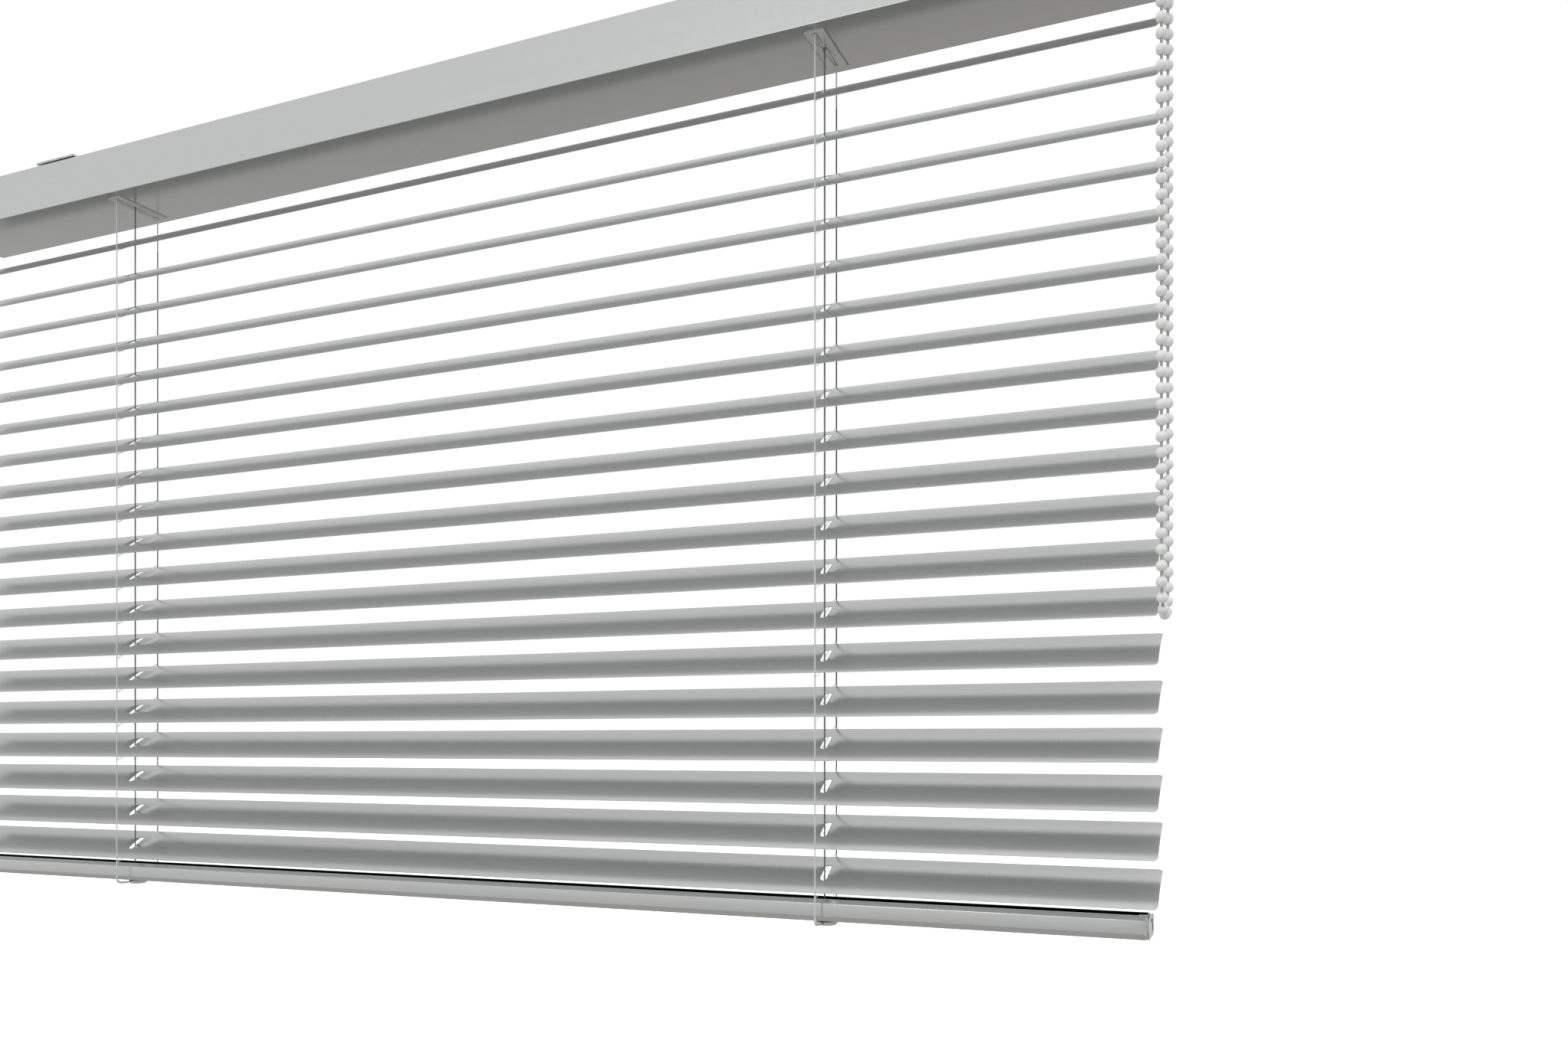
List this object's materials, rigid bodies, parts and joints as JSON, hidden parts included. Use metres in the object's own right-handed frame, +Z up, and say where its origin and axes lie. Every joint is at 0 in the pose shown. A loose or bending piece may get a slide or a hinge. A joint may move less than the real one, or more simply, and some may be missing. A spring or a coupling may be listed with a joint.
{
  "type": "venetian blind",
  "caption": "Horizontal slatted window blind hanging from a headrail, with string ladders, lift cords, a slotted bottom rail and an endless bead chain at one end.",
  "frame": {"origin": "middle of the ceiling screw pattern, on the face the two brackets press against the ceiling", "axes": "+X along the slats towards the control chain, +Y towards the window, +Z up"},
  "size_m": [0.7125, 0.053, 0.4109],
  "materials": {
    "slat_coat": "satin grey stove coat on thin strip",
    "rail_coat": "satin grey coat",
    "grey_plastic": "moulded, light grey",
    "chain_plastic": "white moulded beads on a cord",
    "ladder_string": "fine braided polyester",
    "lift_cord": "twisted polyester cord",
    "zinc_steel": "zinc plated",
    "mechanism_plastic": "natural acetal"
  },
  "bodies": {
    "headrail_unit": {"headrail": "rail_coat", "end_cap_left": "grey_plastic", "control_housing": "grey_plastic", "control_cover": "grey_plastic", "cover_screws": "zinc_steel", "mounting_brackets": "zinc_steel", "drum_cradles": "mechanism_plastic", "ladder_tops": "ladder_string", "lift_cord_left": "lift_cord", "lift_cord_right": "lift_cord", "control_chain": "chain_plastic"},
    "bottom_rail_unit": {"bottom_rail": "rail_coat", "rail_end_cap_left": "grey_plastic", "rail_end_cap_right": "grey_plastic", "ladder_plugs": "grey_plastic", "ladder_tails": "ladder_string", "ladder_segment_19": "ladder_string"},
    "drive_shaft_unit": {"drive_shaft": "zinc_steel", "lift_spool_left": "mechanism_plastic", "lift_spool_right": "mechanism_plastic", "shaft_gear": "mechanism_plastic"},
    "chain_wheel_unit": {"chain_wheel": "mechanism_plastic"},
    "tilt_drum_unit": {"tilt_drum_left": "mechanism_plastic", "tilt_drum_right": "mechanism_plastic"},
    "ladder_02": {"ladder_segment_02": "ladder_string"},
    "ladder_03": {"ladder_segment_03": "ladder_string"},
    "ladder_04": {"ladder_segment_04": "ladder_string"},
    "ladder_05": {"ladder_segment_05": "ladder_string"},
    "ladder_06": {"ladder_segment_06": "ladder_string"},
    "ladder_07": {"ladder_segment_07": "ladder_string"},
    "ladder_08": {"ladder_segment_08": "ladder_string"},
    "ladder_09": {"ladder_segment_09": "ladder_string"},
    "ladder_10": {"ladder_segment_10": "ladder_string"},
    "ladder_11": {"ladder_segment_11": "ladder_string"},
    "ladder_12": {"ladder_segment_12": "ladder_string"},
    "ladder_13": {"ladder_segment_13": "ladder_string"},
    "ladder_14": {"ladder_segment_14": "ladder_string"},
    "ladder_15": {"ladder_segment_15": "ladder_string"},
    "ladder_16": {"ladder_segment_16": "ladder_string"},
    "ladder_17": {"ladder_segment_17": "ladder_string"},
    "ladder_18": {"ladder_segment_18": "ladder_string"},
    "slat_01_body": {"slat_01": "slat_coat"},
    "slat_02_body": {"slat_02": "slat_coat"},
    "slat_03_body": {"slat_03": "slat_coat"},
    "slat_04_body": {"slat_04": "slat_coat"},
    "slat_05_body": {"slat_05": "slat_coat"},
    "slat_06_body": {"slat_06": "slat_coat"},
    "slat_07_body": {"slat_07": "slat_coat"},
    "slat_08_body": {"slat_08": "slat_coat"},
    "slat_09_body": {"slat_09": "slat_coat"},
    "slat_10_body": {"slat_10": "slat_coat"},
    "slat_11_body": {"slat_11": "slat_coat"},
    "slat_12_body": {"slat_12": "slat_coat"},
    "slat_13_body": {"slat_13": "slat_coat"},
    "slat_14_body": {"slat_14": "slat_coat"},
    "slat_15_body": {"slat_15": "slat_coat"},
    "slat_16_body": {"slat_16": "slat_coat"},
    "slat_17_body": {"slat_17": "slat_coat"},
    "slat_18_body": {"slat_18": "slat_coat"},
    "slat_19_body": {"slat_19": "slat_coat"}
  },
  "joints": [
    {"name": "lift", "type": "slide", "parent": "headrail_unit", "child": "bottom_rail_unit", "axis": [0, 0, 1], "range_m": [0, 0.284], "deforming": ["ladder_segment_02", "ladder_segment_03", "ladder_segment_04", "ladder_segment_05", "ladder_segment_06", "ladder_segment_07", "ladder_segment_08", "ladder_segment_09", "ladder_segment_10", "ladder_segment_11", "ladder_segment_12", "ladder_segment_13", "ladder_segment_14", "ladder_segment_15", "ladder_segment_16", "ladder_segment_17", "ladder_segment_18", "ladder_segment_19", "lift_cord_left", "lift_cord_right"]},
    {"name": "tilt", "type": "hinge", "parent": "headrail_unit", "child": "tilt_drum_unit", "pos_m": [0, 0, -0.0145], "axis": [1, 0, 0], "range_deg": [-144, 32]},
    {"name": "ladder_02_lift", "type": "slide", "parent": "headrail_unit", "child": "ladder_02", "axis": [0, 0, 1], "range_m": [0, 0.01578]},
    {"name": "ladder_03_lift", "type": "slide", "parent": "headrail_unit", "child": "ladder_03", "axis": [0, 0, 1], "range_m": [0, 0.03156]},
    {"name": "ladder_04_lift", "type": "slide", "parent": "headrail_unit", "child": "ladder_04", "axis": [0, 0, 1], "range_m": [0, 0.04733]},
    {"name": "ladder_05_lift", "type": "slide", "parent": "headrail_unit", "child": "ladder_05", "axis": [0, 0, 1], "range_m": [0, 0.06311]},
    {"name": "ladder_06_lift", "type": "slide", "parent": "headrail_unit", "child": "ladder_06", "axis": [0, 0, 1], "range_m": [0, 0.07889]},
    {"name": "ladder_07_lift", "type": "slide", "parent": "headrail_unit", "child": "ladder_07", "axis": [0, 0, 1], "range_m": [0, 0.09467]},
    {"name": "ladder_08_lift", "type": "slide", "parent": "headrail_unit", "child": "ladder_08", "axis": [0, 0, 1], "range_m": [0, 0.11045]},
    {"name": "ladder_09_lift", "type": "slide", "parent": "headrail_unit", "child": "ladder_09", "axis": [0, 0, 1], "range_m": [0, 0.12622]},
    {"name": "ladder_10_lift", "type": "slide", "parent": "headrail_unit", "child": "ladder_10", "axis": [0, 0, 1], "range_m": [0, 0.142]},
    {"name": "ladder_11_lift", "type": "slide", "parent": "headrail_unit", "child": "ladder_11", "axis": [0, 0, 1], "range_m": [0, 0.15778]},
    {"name": "ladder_12_lift", "type": "slide", "parent": "headrail_unit", "child": "ladder_12", "axis": [0, 0, 1], "range_m": [0, 0.17356]},
    {"name": "ladder_13_lift", "type": "slide", "parent": "headrail_unit", "child": "ladder_13", "axis": [0, 0, 1], "range_m": [0, 0.18933]},
    {"name": "ladder_14_lift", "type": "slide", "parent": "headrail_unit", "child": "ladder_14", "axis": [0, 0, 1], "range_m": [0, 0.20511]},
    {"name": "ladder_15_lift", "type": "slide", "parent": "headrail_unit", "child": "ladder_15", "axis": [0, 0, 1], "range_m": [0, 0.22089]},
    {"name": "ladder_16_lift", "type": "slide", "parent": "headrail_unit", "child": "ladder_16", "axis": [0, 0, 1], "range_m": [0, 0.23667]},
    {"name": "ladder_17_lift", "type": "slide", "parent": "headrail_unit", "child": "ladder_17", "axis": [0, 0, 1], "range_m": [0, 0.25244]},
    {"name": "ladder_18_lift", "type": "slide", "parent": "headrail_unit", "child": "ladder_18", "axis": [0, 0, 1], "range_m": [0, 0.26822]},
    {"name": "slat_01_tilt", "type": "hinge", "parent": "headrail_unit", "child": "slat_01_body", "pos_m": [0, 0, -0.047], "axis": [1, 0, 0], "range_deg": [-90, 20]},
    {"name": "slat_02_tilt", "type": "hinge", "parent": "ladder_02", "child": "slat_02_body", "pos_m": [0, 0, -0.066], "axis": [1, 0, 0], "range_deg": [-90, 20]},
    {"name": "slat_03_tilt", "type": "hinge", "parent": "ladder_03", "child": "slat_03_body", "pos_m": [0, 0, -0.085], "axis": [1, 0, 0], "range_deg": [-90, 20]},
    {"name": "slat_04_tilt", "type": "hinge", "parent": "ladder_04", "child": "slat_04_body", "pos_m": [0, 0, -0.104], "axis": [1, 0, 0], "range_deg": [-90, 20]},
    {"name": "slat_05_tilt", "type": "hinge", "parent": "ladder_05", "child": "slat_05_body", "pos_m": [0, 0, -0.123], "axis": [1, 0, 0], "range_deg": [-90, 20]},
    {"name": "slat_06_tilt", "type": "hinge", "parent": "ladder_06", "child": "slat_06_body", "pos_m": [0, 0, -0.142], "axis": [1, 0, 0], "range_deg": [-90, 20]},
    {"name": "slat_07_tilt", "type": "hinge", "parent": "ladder_07", "child": "slat_07_body", "pos_m": [0, 0, -0.161], "axis": [1, 0, 0], "range_deg": [-90, 20]},
    {"name": "slat_08_tilt", "type": "hinge", "parent": "ladder_08", "child": "slat_08_body", "pos_m": [0, 0, -0.18], "axis": [1, 0, 0], "range_deg": [-90, 20]},
    {"name": "slat_09_tilt", "type": "hinge", "parent": "ladder_09", "child": "slat_09_body", "pos_m": [0, 0, -0.199], "axis": [1, 0, 0], "range_deg": [-90, 20]},
    {"name": "slat_10_tilt", "type": "hinge", "parent": "ladder_10", "child": "slat_10_body", "pos_m": [0, 0, -0.218], "axis": [1, 0, 0], "range_deg": [-90, 20]},
    {"name": "slat_11_tilt", "type": "hinge", "parent": "ladder_11", "child": "slat_11_body", "pos_m": [0, 0, -0.237], "axis": [1, 0, 0], "range_deg": [-90, 20]},
    {"name": "slat_12_tilt", "type": "hinge", "parent": "ladder_12", "child": "slat_12_body", "pos_m": [0, 0, -0.256], "axis": [1, 0, 0], "range_deg": [-90, 20]},
    {"name": "slat_13_tilt", "type": "hinge", "parent": "ladder_13", "child": "slat_13_body", "pos_m": [0, 0, -0.275], "axis": [1, 0, 0], "range_deg": [-90, 20]},
    {"name": "slat_14_tilt", "type": "hinge", "parent": "ladder_14", "child": "slat_14_body", "pos_m": [0, 0, -0.294], "axis": [1, 0, 0], "range_deg": [-90, 20]},
    {"name": "slat_15_tilt", "type": "hinge", "parent": "ladder_15", "child": "slat_15_body", "pos_m": [0, 0, -0.313], "axis": [1, 0, 0], "range_deg": [-90, 20]},
    {"name": "slat_16_tilt", "type": "hinge", "parent": "ladder_16", "child": "slat_16_body", "pos_m": [0, 0, -0.332], "axis": [1, 0, 0], "range_deg": [-90, 20]},
    {"name": "slat_17_tilt", "type": "hinge", "parent": "ladder_17", "child": "slat_17_body", "pos_m": [0, 0, -0.351], "axis": [1, 0, 0], "range_deg": [-90, 20]},
    {"name": "slat_18_tilt", "type": "hinge", "parent": "ladder_18", "child": "slat_18_body", "pos_m": [0, 0, -0.37], "axis": [1, 0, 0], "range_deg": [-90, 20]},
    {"name": "slat_19_tilt", "type": "hinge", "parent": "bottom_rail_unit", "child": "slat_19_body", "pos_m": [0, 0, -0.389], "axis": [1, 0, 0], "range_deg": [-90, 20]},
    {"name": "shaft_turn", "type": "hinge", "parent": "headrail_unit", "child": "drive_shaft_unit", "pos_m": [0, 0, -0.0145], "axis": [1, 0, 0], "range_deg": [-2034, 0]},
    {"name": "chain_wheel_turn", "type": "hinge", "parent": "headrail_unit", "child": "chain_wheel_unit", "pos_m": [0.353, -0.01602, -0.018], "axis": [1, 0, 0], "range_deg": [0, 1937.14]}
  ],
  "couplings": [
    {"joint": "ladder_02_lift", "follows": "lift", "ratio": 0.055556},
    {"joint": "ladder_03_lift", "follows": "lift", "ratio": 0.11111},
    {"joint": "ladder_04_lift", "follows": "lift", "ratio": 0.16667},
    {"joint": "ladder_05_lift", "follows": "lift", "ratio": 0.22222},
    {"joint": "ladder_06_lift", "follows": "lift", "ratio": 0.27778},
    {"joint": "ladder_07_lift", "follows": "lift", "ratio": 0.33333},
    {"joint": "ladder_08_lift", "follows": "lift", "ratio": 0.38889},
    {"joint": "ladder_09_lift", "follows": "lift", "ratio": 0.44444},
    {"joint": "ladder_10_lift", "follows": "lift", "ratio": 0.5},
    {"joint": "ladder_11_lift", "follows": "lift", "ratio": 0.55556},
    {"joint": "ladder_12_lift", "follows": "lift", "ratio": 0.61111},
    {"joint": "ladder_13_lift", "follows": "lift", "ratio": 0.66667},
    {"joint": "ladder_14_lift", "follows": "lift", "ratio": 0.72222},
    {"joint": "ladder_15_lift", "follows": "lift", "ratio": 0.77778},
    {"joint": "ladder_16_lift", "follows": "lift", "ratio": 0.83333},
    {"joint": "ladder_17_lift", "follows": "lift", "ratio": 0.88889},
    {"joint": "ladder_18_lift", "follows": "lift", "ratio": 0.94444},
    {"joint": "slat_01_tilt", "follows": "tilt", "ratio": 0.625},
    {"joint": "slat_02_tilt", "follows": "tilt", "ratio": 0.625},
    {"joint": "slat_03_tilt", "follows": "tilt", "ratio": 0.625},
    {"joint": "slat_04_tilt", "follows": "tilt", "ratio": 0.625},
    {"joint": "slat_05_tilt", "follows": "tilt", "ratio": 0.625},
    {"joint": "slat_06_tilt", "follows": "tilt", "ratio": 0.625},
    {"joint": "slat_07_tilt", "follows": "tilt", "ratio": 0.625},
    {"joint": "slat_08_tilt", "follows": "tilt", "ratio": 0.625},
    {"joint": "slat_09_tilt", "follows": "tilt", "ratio": 0.625},
    {"joint": "slat_10_tilt", "follows": "tilt", "ratio": 0.625},
    {"joint": "slat_11_tilt", "follows": "tilt", "ratio": 0.625},
    {"joint": "slat_12_tilt", "follows": "tilt", "ratio": 0.625},
    {"joint": "slat_13_tilt", "follows": "tilt", "ratio": 0.625},
    {"joint": "slat_14_tilt", "follows": "tilt", "ratio": 0.625},
    {"joint": "slat_15_tilt", "follows": "tilt", "ratio": 0.625},
    {"joint": "slat_16_tilt", "follows": "tilt", "ratio": 0.625},
    {"joint": "slat_17_tilt", "follows": "tilt", "ratio": 0.625},
    {"joint": "slat_18_tilt", "follows": "tilt", "ratio": 0.625},
    {"joint": "slat_19_tilt", "follows": "tilt", "ratio": 0.625},
    {"joint": "shaft_turn", "follows": "lift", "rad_per_m": -125},
    {"joint": "chain_wheel_turn", "follows": "lift", "rad_per_m": 119.05}
  ]
}
